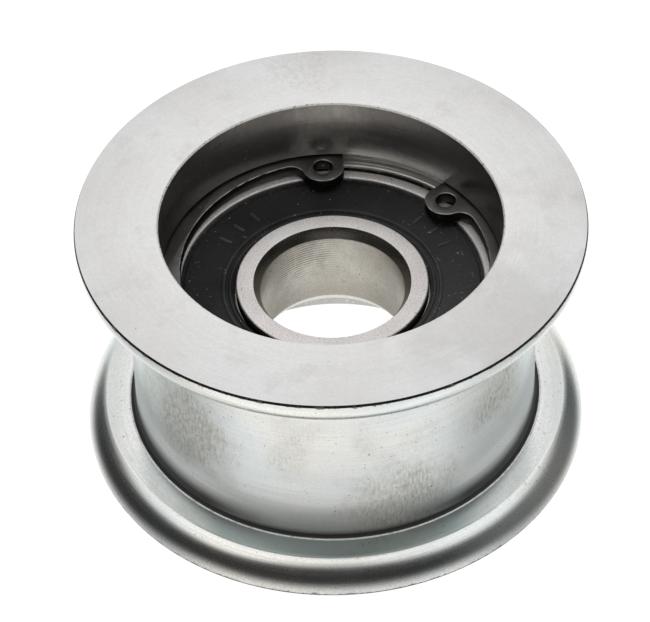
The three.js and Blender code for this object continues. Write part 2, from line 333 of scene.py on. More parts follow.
def plated_steel(name, gloss, stains_and_low_shade, teal=(0.64, 0.77, 0.76), cool=(0.0, 0.25), lift=0.0, foot=False):
    """Zinc plate in blue and cream tints, with rings, pits and patches of brown speckles.

    Its teal tint has the strengths in cool, at the front and at the sides, and is painted sheen. Between the
    two it is paler by lift, as painted light. The drum has a foot with painted shade, duller and less
    metallic, and the flanges have a darker, torn rim instead."""
    s = Shader(name)
    x, _, z = s.axes()
    cream = s.span(s.noise(0.055, 2.0, seed=3.0), 0.4, 0.6)
    tone = s.mix(cream, (0.77, 0.81, 0.805), (0.88, 0.86, 0.81))
    aside = s.math("ABSOLUTE", x)
    # Painted sheen: the teal tint's strength goes by the distance from the middle in x.
    tone = s.mix(s.span(aside, DRUM_R * 0.6, DRUM_R * 0.95, *cool), tone, teal)
    if lift:
        # Painted light: paler stretches between the front and the sides.
        window = s.times(s.span(aside, 16, 23), s.span(aside, 31, 28, 0.0, lift))
        tone = s.mix(window, tone, (1.0, 1.0, 1.0))
    mottle = s.noise(3.2, 4.0, seed=20.0, roughness=0.75)
    tone = s.mix(s.span(mottle, 0.4, 0.7, 0.0, 0.38), tone, (0.5, 0.48, 0.43))
    # Painted shade: darker towards the bottom, by the same strength as the stain patches.
    tone = s.mix(s.span(z, 6.0, BOTTOM / 2, 0.0, stains_and_low_shade * 0.6), tone, (0.52, 0.54, 0.54))
    if not foot:
        tone = rim_marks(s, tone, z, mottle)
    patch = s.span(s.noise(0.12, 2.0, s.tall_place(), seed=5.0), 0.56, 0.7, 0.0, 0.6)
    for spot in DRUM_STAINS:
        patch = s.math("MAXIMUM", patch, s.near(*spot))
    speckle = s.noise(3.0, 5.0, s.tall_place(0.3), seed=6.0, roughness=0.8)
    stain = s.times(patch, s.span(speckle, 0.42, 0.64, 0.1, 1.0))
    tone = s.mix(s.times(stain, stains_and_low_shade), tone, (0.36, 0.32, 0.235))
    pits = s.span(s.noise(2.6, 1.0, seed=7.0), 0.72, 0.76)
    fine = s.noise(4.5, 2.0, s.turned_place(), 0.6, seed=8.0)
    tone = s.mix(s.span(fine, 0.35, 0.65, 0.0, 0.14), tone, (0.4, 0.42, 0.42))
    tone = s.mix(s.times(pits, 0.8), tone, (0.1, 0.09, 0.08))
    haze = s.plus(s.span(fine, 0.3, 0.7, gloss, gloss + 0.06), s.times(stain, 0.1))
    if foot:
        # Painted shade on the foot, which is also duller and less metallic.
        tone = foot_shade(s, tone, z, aside)
        haze = s.plus(haze, s.span(z, 6 - BELT_FACE, 1.5 - BELT_FACE, 0.0, 0.2))
        s.feed(s.surface.inputs["Metallic"], s.span(z, 6 - BELT_FACE, 3 - BELT_FACE, 1.0, 0.55))
    s.colour(tone)
    s.roughness(haze)
    s.bump((fine, 0.005), (pits, -0.01))
    return s.material


def dark_chamfer_and_shade():
    """The flange's outer corner, left dark and ragged by the last cut. On the bore wall beside the bearing's
    corner it is painted shade.
    """
    s = Shader("dark_chamfer_and_shade", roughness=0.55, metallic=0.6)
    ragged = s.noise(0.9, 4.0, seed=9.0, roughness=0.7)
    s.colour(s.mix(s.span(ragged, 0.55, 0.75), (0.022, 0.02, 0.019), (0.3, 0.29, 0.27)))
    s.bump((ragged, 0.03))
    return s.material


def bored_steel():
    """The inside of the roller: turned smooth and oiled, so that it mirrors the dark bearing, with a painted
    pool of light at the back and painted shade on its sides.
    """
    s = Shader("bored_steel")
    fine = s.noise(2.5, 3.0, s.turned_place(), 0.6, seed=11.0)
    patch = s.span(s.noise(0.12, 3.0, seed=12.0), 0.35, 0.65)
    tone = s.mix(patch, (0.47, 0.46, 0.445), (0.56, 0.55, 0.535))
    # Painted light: a pale spot at the back of the bore.
    tone = s.mix(s.times(s.near(*BORE_PAINTED_LIGHT), 0.7), tone, (0.95, 0.92, 0.88))
    # Painted shade: darker towards the sides, away from the middle in x.
    tone = s.mix(s.span(s.math("ABSOLUTE", s.axes()[0]), 8, 20, 0.0, 0.5), tone, (0.28, 0.27, 0.26))
    brushed = s.noise(1.2, 4.0, s.tall_place(), seed=26.0, roughness=0.7)
    tone = s.mix(s.span(brushed, 0.35, 0.65, 0.0, 0.3), tone, (0.25, 0.24, 0.23))
    dust = s.span(s.noise(2.2, 0.0, seed=13.0), 0.79, 0.82)
    s.colour(s.mix(dust, tone, (0.8, 0.8, 0.78)))
    s.grazing(0.4)
    s.roughness(s.span(fine, 0.3, 0.7, 0.27, 0.33))
    s.bump((fine, 0.006), (brushed, 0.008))
    return s.material


def groove_steel():
    """The retaining ring's groove: pale dull plate with coarse turning lines, whose troughs are painted dark
    as shade.
    """
    s = Shader("groove_steel", metallic=0.0)
    lines = s.noise(2.4, 1.0, s.turned_place(), 0.6, seed=14.0)
    tint = s.span(s.noise(0.5, 2.0, seed=15.0), 0.4, 0.6)
    tone = s.mix(tint, (0.96, 0.96, 0.88), (1.0, 1.0, 0.96))
    turned = s.plus(s.times(s.axes()[2], FULL_TURN / LINE_PITCH), s.times(lines, 5.0))
    wave = s.span(s.math("SINE", turned), -1.0, 1.0)
    # Painted shade: the turning lines' troughs are darker.
    s.colour(s.mix(s.span(wave, 0.16, 0.0, 0.0, 0.8), tone, (0.16, 0.15, 0.12)))
    s.bump((wave, 0.1))
    return s.material


def ground_steel(name, light, dark, seed, gloss=0.5):
    """Bearing steel: ground, with a fine grain and a few small dark spots."""
    s = Shader(name)
    grain = s.noise(4.0, 3.0, seed=seed, roughness=0.65)
    broad = s.span(s.noise(0.25, 2.0, seed=seed + 1), 0.35, 0.65)
    worn = s.mix(s.span(grain, 0.45, 0.75, 0.0, 0.45), s.mix(broad, light, dark), (0.2, 0.19, 0.18))
    spot = s.span(s.noise(1.6, 1.0, seed=seed + 2), 0.7, 0.74)
    s.colour(s.mix(s.times(spot, 0.45), worn, (0.08, 0.07, 0.065)))
    rings = s.noise(6.0, 2.0, s.turned_place(), 0.6, seed=seed + 3)
    s.roughness(s.span(grain, 0.3, 0.7, gloss, gloss + 0.12))
    s.bump((grain, 0.012), (rings, 0.005))
    return s.material


def ring_steel(name, lift):
    """The bearing rings' ground faces, made paler by lift."""
    light, dark = (0.8, 0.765, 0.75), (0.72, 0.69, 0.675)
    return ground_steel(name, [lift * part for part in light], [lift * part for part in dark], seed=61.0)


def ring_corner_steel():
    """The inner ring's glossy corners, which mirror the dark roller, in a dark colour that is painted
    reflection as well.
    """
    light, dark = (0.28, 0.265, 0.245), (0.22, 0.21, 0.19)
    return ground_steel("ring_corner_steel", light, dark, seed=65.0, gloss=0.16)


def ring_bore_steel():
    """The bearing's bore: honed pale, with specks, with painted shade deeper down and beside its mouth, with
    turning arcs on one side.
    """
    s = Shader("ring_bore_steel")
    x, _, z = s.axes()
    grain = s.noise(4.0, 3.0, seed=69.0, roughness=0.65)
    broad = s.span(s.noise(0.25, 2.0, seed=70.0), 0.35, 0.65)
    tone = s.mix(broad, (0.82, 0.795, 0.73), (0.7, 0.67, 0.6))
    # Painted shade: darker deeper down the bore.
    tone = s.mix(s.span(z, 0.0, -4.5, 0.0, 0.6), tone, (0.45, 0.42, 0.36))
    tone = s.mix(s.span(z, -5.5, -5.65), tone, (0.86, 0.84, 0.79))
    tone = s.mix(s.span(grain, 0.45, 0.7, 0.0, 0.35), tone, (0.3, 0.28, 0.24))
    # Painted shade: darker at the sides near the bore's mouth.
    beside = s.span(s.math("ABSOLUTE", x), BEARING_BORE_R * 0.6, BEARING_BORE_R)
    tone = s.mix(s.times(beside, s.span(z, 2.0, 5.5, 0.0, 0.85)), tone, (0.22, 0.21, 0.19))
    wave = s.span(s.math("SINE", s.times(z, FULL_TURN / ARC_PITCH)), 0.0, 0.9)
    broken = s.span(s.noise(0.7, 2.0, seed=74.0), 0.35, 0.5, 0.3, 1.0)
    where = s.times(s.near(*BORE_ARCS), broken)
    arcs = s.times(wave, where)
    tone = s.mix(s.times(arcs, 0.75), tone, (0.16, 0.15, 0.13))
    size = s.span(s.noise(0.35, 1.0, seed=72.0), 0.35, 0.65, 0.7, 0.78)
    spot = s.span(s.math("SUBTRACT", s.noise(2.0, 1.0, seed=71.0), size), 0.0, 0.03)
    s.colour(s.mix(s.times(spot, 0.8), tone, (0.08, 0.07, 0.065)))
    s.roughness(s.span(grain, 0.3, 0.7, 0.5, 0.62))
    s.bump((grain, 0.006), (s.noise(6.0, 2.0, s.turned_place(), 0.6, seed=75.0), 0.005))
    return s.material


def bright_edge():
    """Machined edges, rubbed bright."""
    name = "bright_edge"
    return bpy.data.materials.get(name) or ground_steel(name, (0.9, 0.9, 0.88), (0.75, 0.75, 0.73), seed=73.0)


def foot_lip_steel():
    """The thin bright line where the drum's foot meets the belt face: near white, a painted highlight."""
    s = Shader("foot_lip_steel", metallic=0.2)
    wear = s.noise(1.3, 3.0, seed=79.0)
    s.colour(s.mix(s.span(wear, 0.5, 0.7), (0.97, 0.97, 0.96), (0.6, 0.59, 0.57)))
    s.bump((wear, 0.005))
    return s.material


def burred_edge():
    """The bore's mouth: a pale matt burr with dark nicks."""
    s = Shader("burred_edge", roughness=0.6, metallic=0.6)
    nicks = s.noise(2.8, 3.0, seed=77.0, roughness=0.65)
    s.colour(s.mix(s.span(nicks, 0.56, 0.7), (0.92, 0.92, 0.89), (0.2, 0.19, 0.18)))
    s.bump((nicks, 0.03))
    return s.material


def black_spring_steel(name, shade):
    """The retaining ring: phosphated black, oiled, with pale dust. A darker copy by shade, on the sheared
    sides, is painted shade.
    """
    s = Shader(name)
    grain = s.noise(3.0, 4.0, seed=21.0, roughness=0.6)
    broad = s.span(s.noise(0.3, 3.0, seed=22.0), 0.35, 0.65)
    dark = [shade * part for part in (0.14, 0.134, 0.128)]
    light = [shade * part for part in (0.19, 0.181, 0.174)]
    tone = s.mix(broad, dark, light)
    dust = s.span(s.noise(3.0, 0.0, seed=23.0), 0.79, 0.82)
    s.colour(s.mix(s.times(dust, 0.6), tone, (0.6, 0.6, 0.58)))
    s.grazing(0.4)
    s.roughness(s.span(grain, 0.3, 0.7, 0.34, 0.46))
    s.bump((grain, 0.01))
    return s.material


def worn_edge():
    """The retaining ring's stamped edges, rubbed to bare metal."""
    s = Shader("worn_edge")
    rub = s.noise(0.8, 3.0, seed=24.0)
    s.colour(s.mix(s.span(rub, 0.35, 0.6), (0.1, 0.095, 0.09), (0.42, 0.4, 0.38)))
    s.bump((s.noise(4.0, 2.0, seed=25.0), 0.004))
    return s.material


def nitrile_rubber(name, rubbed):
    """The seals: matt black moulded rubber with a fine grain, made paler by the rubbed factor; on the lip's
    and the step's crests that paleness is a painted highlight.

    It is a little dusty, and paler on the side towards +X and -Y."""
    s = Shader(name, metallic=0.0)
    s.surface.inputs["Specular IOR Level"].default_value = 0.35
    grain = s.noise(4.0, 3.0, seed=31.0, roughness=0.65)
    broad = s.span(s.noise(0.2, 2.0, seed=32.0), 0.35, 0.65)
    dark, light = [rubbed * shade for shade in (0.007, 0.016)]
    tone = s.mix(broad, (dark, dark, dark), (light, light, light))
    x, y, _ = s.axes()
    # Paler on the side towards +X and -Y.
    paler_side = s.span(s.math("SUBTRACT", x, y), -12, 20, 0.0, 0.8)
    tone = s.mix(paler_side, tone, (0.055, 0.055, 0.055))
    dusty = s.span(s.noise(0.15, 1.0, seed=34.0), 0.45, 0.65, 0.81, 0.76)
    dust = s.span(s.math("SUBTRACT", s.noise(3.2, 0.0, seed=33.0), dusty), 0.0, 0.03, 0.0, 0.6)
    s.colour(s.mix(dust, tone, (0.45, 0.45, 0.44)))
    s.roughness(s.span(grain, 0.3, 0.7, 0.38, 0.62))
    s.bump((grain, 0.2))
    return s.material


def pressed_steel(name):
    """The cage, its rivets and the seals' inserts: cold rolled sheet, lightly scuffed."""
    s = Shader(name)
    scuff = s.noise(1.4, 4.0, seed=41.0, roughness=0.65)
    s.colour(s.mix(s.span(scuff, 0.35, 0.65), (0.5, 0.48, 0.43), (0.62, 0.6, 0.56)))
    s.roughness(s.span(scuff, 0.3, 0.7, 0.3, 0.45))
    s.bump((scuff, 0.01))
    return s.material


def polished_steel(name):
    """The balls and their tracks: lapped, with the faintest haze."""
    s = Shader(name)
    haze = s.noise(0.8, 3.0, seed=51.0)
    s.colour(s.mix(haze, (0.78, 0.78, 0.79), (0.84, 0.84, 0.85)))
    s.roughness(s.span(haze, 0.3, 0.7, 0.06, 0.12))
    s.bump((s.noise(6.0, 2.0, seed=52.0), 0.0005))
    return s.material


# ---- Mesh building --------------------------------------------------------------------------

ONLY_FINISH = 0


def put_in_frame(name, mesh, materials, body, node=None, angle=30):
    """Makes a mesh a piece of the object: smooth, finished, riding a body in its CAD node's place."""
    for material in materials:
        mesh.materials.append(material)
    mesh.polygons.foreach_set("use_smooth", [True] * len(mesh.polygons))
    mesh.set_sharp_from_angle(angle=math.radians(angle))
    piece = bpy.data.objects.new(name, mesh)
    bpy.context.scene.collection.objects.link(piece)
    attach(piece, body)
    if node:
        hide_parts(node)
    return piece


def arc(x, y, radius, start, end, steps):
    """Points along an arc, both ends included."""
    angles = [start + (end - start) * i / steps for i in range(steps + 1)]
    return [(x + radius * math.cos(a), y + radius * math.sin(a)) for a in angles]


def corner(here, soft, before, after, steps=3):
    """The points that round a corner off, between its neighbours before and after."""
    here, before, after = Vector(here), Vector(before), Vector(after)
    start = here + (before - here).normalized() * min(soft, (before - here).length / 2.1)
    end = here + (after - here).normalized() * min(soft, (after - here).length / 2.1)
    shares = [i / steps for i in range(steps + 1)]
    return [tuple(start * (1 - t) ** 2 + here * 2 * t * (1 - t) + end * t**2) for t in shares]


def profile(*runs):
    """A closed outline of (x, y, soft, finish) points from runs of (finish, soft, points).

    A point's finish is that of the edge that leaves it, and soft is how far its corner is rounded."""
    return [(x, y, soft, finish) for finish, soft, points in runs for x, y in points]


def flipped(outline):
    """The same outline on the other side of the middle plane, still anticlockwise."""
    finishes = [finish for *_, finish in outline]
    turned = [(x, -y, soft, finishes[i - 1]) for i, (x, y, soft, _) in enumerate(outline)]
    turned[0] = (*turned[0][:3], finishes[0])
    return turned[::-1]


def turned_mesh(name, outline, steps=STEPS):
    """A mesh turned about Z from an anticlockwise outline of radius and height, which may touch the axis."""
    points = []
    for i, (x, y, soft, finish) in enumerate(outline):
        before = outline[i - 1][:2]
        after = outline[(i + 1) % len(outline)][:2]
        rounded = corner((x, y), soft, before, after) if soft else [(x, y)]
        points += [(px, py, finish) for px, py in rounded]
    made = bmesh.new()
    angles = [FULL_TURN * i / steps for i in range(steps)]
    turns = [(math.cos(a) * MM, math.sin(a) * MM) for a in angles]
    rings = []
    for radius, height, _ in points:
        if radius < 1e-6:
            rings.append([made.verts.new((0, 0, height * MM))] * steps)
        else:
            rings.append([made.verts.new((radius * c, radius * s, height * MM)) for c, s in turns])
    for i, (_, _, finish) in enumerate(points):
        near, far = rings[i], rings[(i + 1) % len(rings)]
        for j in range(steps):
            k = (j + 1) % steps
            corners = list(dict.fromkeys((near[j], near[k], far[k], far[j])))
            if len(corners) > 2:
                made.faces.new(corners).material_index = finish
    return to_mesh(name, made)


def to_mesh(name, made):
    bmesh.ops.recalc_face_normals(made, faces=made.faces)
    mesh = bpy.data.meshes.new(name)
    made.to_mesh(mesh)
    made.free()
    return mesh


# ---- Roller ---------------------------------------------------------------------------------

# The seat's bright upper edge, and from how far below the bearing's top the bore wall beside the gap is
# painted dark, as painted shade.
SEAT_EDGE = 0.14
GAP_PAINTED_SHADE_TOP = 0.4

# How far corners are rounded.
CRISP = 0.03
EASED = 0.08
SOFT = 0.15
RIM_EASED = 0.45
RING_EASED = 0.5


def roller():
    # The belt face's teal tint and paler stretches are painted sheen and painted light.
    belt_painted_sheen = {"teal": (0.42, 0.53, 0.54), "cool": (0.85, 0.05), "lift": 1.0}
    finishes = [
        faced_steel(),
        plated_steel("plated_rim_steel", gloss=0.24, stains_and_low_shade=0.1),
        plated_steel("plated_drum_steel", gloss=0.28, stains_and_low_shade=0.85, cool=(0.0, 0.8), foot=True),
        dark_chamfer_and_shade(),
        bored_steel(),
        groove_steel(),
        bright_edge(),
        burred_edge(),
        plated_steel("plated_belt_face_steel", gloss=0.15, stains_and_low_shade=0.1, **belt_painted_sheen),
        foot_lip_steel(),
    ]
    faced, plated, drum, dark_corner_and_shade, bored, groove, edge, burr, belt, lip = range(len(finishes))
    foot_round_r = (FOOT_R - DRUM_R) / (1 - math.cos(FOOT_SLOPE))
    foot_start = BELT_FACE - foot_round_r * math.sin(FOOT_SLOPE)
    foot = arc(DRUM_R + foot_round_r, foot_start, foot_round_r, math.pi, math.pi - FOOT_SLOPE, steps=16)
    round_centre_r = FLANGE_R - RIM_ROUND_R
    round_start = -math.acos((BELT_FACE_R - round_centre_r) / RIM_ROUND_R)
    round_centre_z = BELT_FACE - RIM_ROUND_R * math.sin(round_start)
    rim_round = arc(round_centre_r, round_centre_z, RIM_ROUND_R, round_start, 0, steps=20)
    flange = profile(
        (drum, 0, foot[:-2]),
        (lip, 0, foot[-2:-1]),
        (belt, CRISP, [(FOOT_R + FOOT_LIP, BELT_FACE)]),
        (plated, RIM_EASED, rim_round[:1]),
        (plated, 0, rim_round[1:]),
        (dark_corner_and_shade, CRISP, [(FLANGE_R, TOP - RIM_CHAMFER_Z)]),
        (faced, CRISP, [(FLANGE_R - RIM_CHAMFER_R, TOP)]),
    )
    start = profile((faced, CRISP, [(SHOULDER_BORE_R + BORE_CHAMFER, BOTTOM)]))
    bore = profile(
        (burr, CRISP, [(BORE_R + BORE_CHAMFER, TOP)]),
        (bored, CRISP, [(BORE_R, TOP - BORE_CHAMFER), (BORE_R, CLIP_SEAT + GROOVE_WIDTH)]),
        (groove, EASED, [(GROOVE_R, CLIP_SEAT + GROOVE_WIDTH), (GROOVE_R, CLIP_SEAT)]),
        (edge, CRISP, [(BORE_R + SEAT_EDGE, CLIP_SEAT)]),
        (bored, CRISP, [(BORE_R, CLIP_SEAT - SEAT_EDGE)]),
        # Painted shade: a dark band on the bore wall beside the bearing's rounded corner.
        (dark_corner_and_shade, 0, [(BORE_R, BEARING_TOP - GAP_PAINTED_SHADE_TOP)]),
        (bored, 0, [(BORE_R, BEARING_TOP - RING_CORNER)]),
        (bored, CRISP, [(BORE_R, SHOULDER_FACE)]),
        (bored, EASED, [(SHOULDER_BORE_R, SHOULDER_FACE)]),
        (edge, CRISP, [(SHOULDER_BORE_R, BOTTOM + BORE_CHAMFER)]),
    )
    mesh = turned_mesh("turned_roller", [*start, *flipped(flange), *flange, *bore])
    put_in_frame("turned_roller", mesh, finishes, "roller", "roller_body")


# ---- Bearing --------------------------------------------------------------------------------


def raceway(centre_r, land_r, turn):
    """The ball track's arc between the lands, from the far side of the turn to the near one."""
    half = math.acos(abs(land_r - centre_r) / RACEWAY_R)
    return arc(centre_r, 0, RACEWAY_R, turn + half, turn - half, steps=24)


def outer_ring():
    finishes = [ring_steel("outer_ring_steel", lift=1.3), bright_edge(), polished_steel("raceway_steel")]
    ground, edge, track = range(len(finishes))
    bead = 0.16
    upper = profile(
        (ground, RING_EASED, [(OUTER_RING_R, BEARING_TOP - RING_CORNER)]),
        (ground, RING_EASED, [(OUTER_RING_R - RING_CORNER, BEARING_TOP)]),
        (edge, CRISP, [(OUTER_FACE_R + bead, BEARING_TOP)]),
        (ground, CRISP, [(OUTER_FACE_R, BEARING_TOP - bead)]),
        (ground, EASED, [(OUTER_FACE_R, SNAP_GROOVE_TOP), (SNAP_GROOVE_R, SNAP_GROOVE_TOP)]),
        (ground, EASED, [(SNAP_GROOVE_R, LAND_TOP), (OUTER_LAND_R, LAND_TOP)]),
    )
    track_arc = profile((track, 0, raceway(PITCH_R - RACEWAY_OFFSET, OUTER_LAND_R, 0)))
    mesh = turned_mesh("bearing_outer_ring", [*upper, *track_arc, *flipped(upper)])
    put_in_frame("bearing_outer_ring", mesh, finishes, "roller", "outer_ring")


def inner_ring():
    finishes = [
        ring_steel("inner_ring_steel", lift=1.1),
        ring_corner_steel(),
        ring_bore_steel(),
        polished_steel("track_steel"),
    ]
    ground, dark, bore, track = range(len(finishes))
    face_corner = 0.14

    def half(corner_finish):
        return profile(
            (dark, EASED, [(INNER_LAND_R, LAND_TOP), (INNER_FACE_R, LAND_TOP)]),
            (ground, CRISP, [(INNER_FACE_R, BEARING_TOP - face_corner)]),
            (ground, CRISP, [(INNER_FACE_R - face_corner, BEARING_TOP)]),
            (corner_finish, CRISP, [(BEARING_BORE_R + BORE_CORNER_R, BEARING_TOP)]),
            (bore, EASED, [(BEARING_BORE_R, BEARING_TOP - BORE_CORNER_Z)]),
        )

    track_arc = profile((track, 0, raceway(PITCH_R + RACEWAY_OFFSET, INNER_LAND_R, math.pi)))
    mesh = turned_mesh("bearing_inner_ring", [*half(dark), *flipped(half(bore)), *track_arc])
    put_in_frame("bearing_inner_ring", mesh, finishes, "held_ring", "inner_ring")


FIELD_TOP = SEAL_TOP - 0.17
FIELD_R = 20.45
FIELD_INNER_R = 14.85
RIM_GROOVE_TOP = SEAL_TOP - 0.55
LIP_GROOVE_TOP = SEAL_TOP - 0.4
LIP_CREST_R = 14.15
INSERT_GAP = 0.05


def seal_outline():
    """Rubber of the upper seal: rim line, field, step and lip on top, and the insert's channel below."""
    black, rubbed = range(2)
    channel_in = INSERT_INNER_R - INSERT_GAP
    channel_out = INSERT_R + INSERT_GAP
    return profile(
        (black, SOFT, [(SEAL_LIP_R, SEAL_SKIRT)]),
        (black, CRISP, [(channel_in, SEAL_SKIRT), (channel_in, SEAL_UNDERSIDE)]),
        (black, CRISP, [(channel_out, SEAL_UNDERSIDE), (channel_out, SEAL_SKIRT)]),
        (black, SOFT, [(SEAL_R, SEAL_SKIRT), (SEAL_R, RIM_GROOVE_TOP + 0.15)]),
        (black, SOFT, [(SEAL_R - 0.25, RIM_GROOVE_TOP)]),
        (black, EASED, [(FIELD_R + 0.1, RIM_GROOVE_TOP), (FIELD_R, SEAL_TOP), (FIELD_R - 0.28, SEAL_TOP)]),
        (black, EASED, [(FIELD_R - 0.4, FIELD_TOP), (FIELD_INNER_R + 0.5, FIELD_TOP)]),
        (rubbed, EASED, [(FIELD_INNER_R + 0.38, SEAL_TOP), (FIELD_INNER_R, SEAL_TOP - 0.02)]),
        (black, EASED, [(FIELD_INNER_R - 0.1, LIP_GROOVE_TOP), (LIP_CREST_R + 0.3, LIP_GROOVE_TOP)]),
        (rubbed, SOFT, [(LIP_CREST_R + 0.12, SEAL_TOP - 0.12), (LIP_CREST_R - 0.12, SEAL_TOP - 0.12)]),
        (black, EASED, [(LIP_CREST_R - 0.25, LIP_GROOVE_TOP), (SEAL_LIP_R, LIP_GROOVE_TOP - 0.1)]),
    )


def insert_outline():
    return profile(
        (ONLY_FINISH, CRISP, [(INSERT_INNER_R, INSERT_LOW), (INSERT_R, INSERT_LOW)]),
        (ONLY_FINISH, CRISP, [(INSERT_R, INSERT_TOP), (INSERT_INNER_R, INSERT_TOP)]),
    )


def seals():
    # The paler copy on the lip's and the step's crests is a painted highlight.
    rubber = [nitrile_rubber("nitrile_rubber", rubbed=1.0), nitrile_rubber("rubber_crest_painted_highlight", rubbed=2.6)]
    sheet = pressed_steel("insert_steel")
    for side in ("upper", "lower"):
        outlines = [seal_outline(), insert_outline()]
        if side == "lower":
            outlines = [flipped(outline) for outline in outlines]
        mesh = turned_mesh(f"moulded_seal_{side}", outlines[0])
        put_in_frame(f"moulded_seal_{side}", mesh, rubber, "roller", f"seal_rubber_{side}")
        mesh = turned_mesh(f"pressed_insert_{side}", outlines[1], steps=128)
        put_in_frame(f"pressed_insert_{side}", mesh, [sheet], "roller", f"seal_insert_{side}")


def rounded_bar(made, centre, along, length, width, low, high):
    """A low bar with round ends and an eased top, lying flat between two heights."""
    sides = 5
    across = Vector((-along.y, along.x))
    half = length / 2 - width / 2

    def ring(radius, height):
        verts = []
        for end, first in ((1, -0.5), (-1, 0.5)):
            for i in range(sides + 1):
                turn = math.pi * (first + i / sides)
                spot = centre + along * (end * half + radius * math.cos(turn))
                spot += across * radius * math.sin(turn)
                verts.append(made.verts.new((spot.x * MM, spot.y * MM, height * MM)))
        return verts

    easing = (high - low) * 0.4
    rings = [ring(width / 2, low), ring(width / 2, high - easing), ring(width / 2 - easing, high)]
    for near, far in zip(rings, rings[1:]):
        for i in range(len(near)):
            k = (i + 1) % len(near)
            made.faces.new((near[i], near[k], far[k], far[i]))
    made.faces.new(rings[-1])
    made.faces.new(rings[0][::-1])


TICK_GROUPS = (math.radians(137), math.radians(36))
TICK_STEP = math.radians(10)
TICK_CENTRE_R = 17.6
TICK_LENGTH = 2.1
TICK_WIDTH = 0.5
TICK_ROOT = FIELD_TOP - 0.05
TICK_TOP = SEAL_TOP - 0.02


def mould_ticks():
    """Plain raised bars on the seals' faces, in groups of three."""
    # The bars are a paler rubber than the seal's face.
    rubber = nitrile_rubber("paler_tick_rubber", rubbed=5.5)
    for side, sign in (("upper", 1), ("lower", -1)):
        made = bmesh.new()
        for middle in TICK_GROUPS:
            for step in (-1, 0, 1):
                turn = middle + step * TICK_STEP
                outward = Vector((math.cos(turn), math.sin(turn)))
                centre = outward * TICK_CENTRE_R
                rounded_bar(made, centre, outward, TICK_LENGTH, TICK_WIDTH, TICK_ROOT, TICK_TOP)
        if sign < 0:
            bmesh.ops.rotate(made, verts=made.verts, cent=(0, 0, 0), matrix=Matrix.Rotation(math.pi, 3, "X"))
        mesh = to_mesh(f"mould_ticks_{side}", made)
        put_in_frame(f"mould_ticks_{side}", mesh, [rubber], "roller")


def ball_mesh(name, centre):
    """A sphere of even quads, from a cube's faces pushed out to the radius."""
    made = bmesh.new()
    bmesh.ops.create_cube(made, size=2)
    bmesh.ops.subdivide_edges(made, edges=made.edges, cuts=10, use_grid_fill=True)
    for vert in made.verts:
        evened = Vector([math.tan(c * math.pi / 4) for c in vert.co])
        vert.co = (evened.normalized() * BALL_R + centre) * MM
    return to_mesh(name, made)


def on_pitch_circle(turn):
    return Vector((PITCH_R * math.cos(turn), PITCH_R * math.sin(turn), 0))


def balls():
    steel = polished_steel("polished_steel")
    for i in range(BALL_COUNT):
        name = f"lapped_ball_{i + 1}"
        mesh = ball_mesh(name, on_pitch_circle(FULL_TURN * i / BALL_COUNT))
        put_in_frame(name, mesh, [steel], f"rolling_ball_{i + 1}", f"ball_{i + 1}")


def cage_half(name, sign):
    """One half of the pressed cage: a flat ribbon that bulges over each ball."""
    made = bmesh.new()
    steps = 32 * BALL_COUNT
    across = 6

    def ribbon_height(radius, turn, shell):
        """Height of the ribbon's lower (shell 0) or upper (shell 1) surface."""
        nearest = round(turn / FULL_TURN * BALL_COUNT) * FULL_TURN / BALL_COUNT
        spot = radius * math.cos(turn - nearest) - PITCH_R, radius * math.sin(turn - nearest)
        bulge_r = POCKET_R + shell * CAGE_SHEET
        rise = bulge_r**2 - spot[0] ** 2 - spot[1] ** 2
        return max(CAGE_HALF_GAP + shell * CAGE_SHEET, math.sqrt(max(rise, 0)))

    rows = []
    for i in range(steps):
        turn = FULL_TURN * i / steps
        row = []
        for shell, order in ((0, range(across + 1)), (1, range(across, -1, -1))):
            for j in order:
                radius = CAGE_INNER_R + (CAGE_R - CAGE_INNER_R) * j / across
                height = sign * ribbon_height(radius, turn, shell)
                spot = Vector((radius * math.cos(turn), radius * math.sin(turn), height))
                row.append(made.verts.new(spot * MM))
        rows.append(row)
    for i in range(steps):
        near, far = rows[i], rows[(i + 1) % steps]
        for j in range(len(near)):
            k = (j + 1) % len(near)
            made.faces.new((near[j], near[k], far[k], far[j]))
    return to_mesh(name, made)


def cage():
    sheet = pressed_steel("cage_steel")
    for side, sign in (("upper", 1), ("lower", -1)):
        mesh = cage_half(f"pressed_cage_{side}", sign)
        put_in_frame(f"pressed_cage_{side}", mesh, [sheet], "cage", f"cage_{side}", angle=45)
    seat = CAGE_HALF_GAP + CAGE_SHEET + RIVET_SEAT_GAP
    rim = seat + (RIVET_TOP - seat) * 0.5
    upper = profile((ONLY_FINISH, 0, [(RIVET_R, seat), (RIVET_HEAD_R, seat)]))
    dome = (0, 0.4, 0.8, 1.2)
    crown = [(RIVET_HEAD_R * math.cos(a), rim + (RIVET_TOP - rim) * math.sin(a)) for a in dome]
    upper += profile((ONLY_FINISH, 0, [*crown, (0, RIVET_TOP)]))
    for i in range(BALL_COUNT):
        name = f"domed_rivet_{i + 1}"
        mesh = turned_mesh(name, [*flipped(upper), *upper], steps=24)
        place = on_pitch_circle(FULL_TURN * (i + 0.5) / BALL_COUNT)
        mesh.transform(Matrix.Translation(place * MM))
        put_in_frame(name, mesh, [sheet], "cage", f"cage_rivet_{i + 1}")


# ---- Retaining ring -------------------------------------------------------------------------


def ear_centre(side):
    return Vector((EAR_CENTRE_R * math.cos(EAR_ANGLE), side * EAR_CENTRE_R * math.sin(EAR_ANGLE)))


def circle_meeting(a, ra, b, rb):
    """The crossing point of two circles that lies anticlockwise of the line from a to b."""
    along = (b - a).normalized()
    distance = (b - a).length
    base = (ra**2 - rb**2 + distance**2) / (2 * distance)
    height = math.sqrt(ra**2 - base**2)
    return a + along * base + Vector((-along.y, along.x)) * height


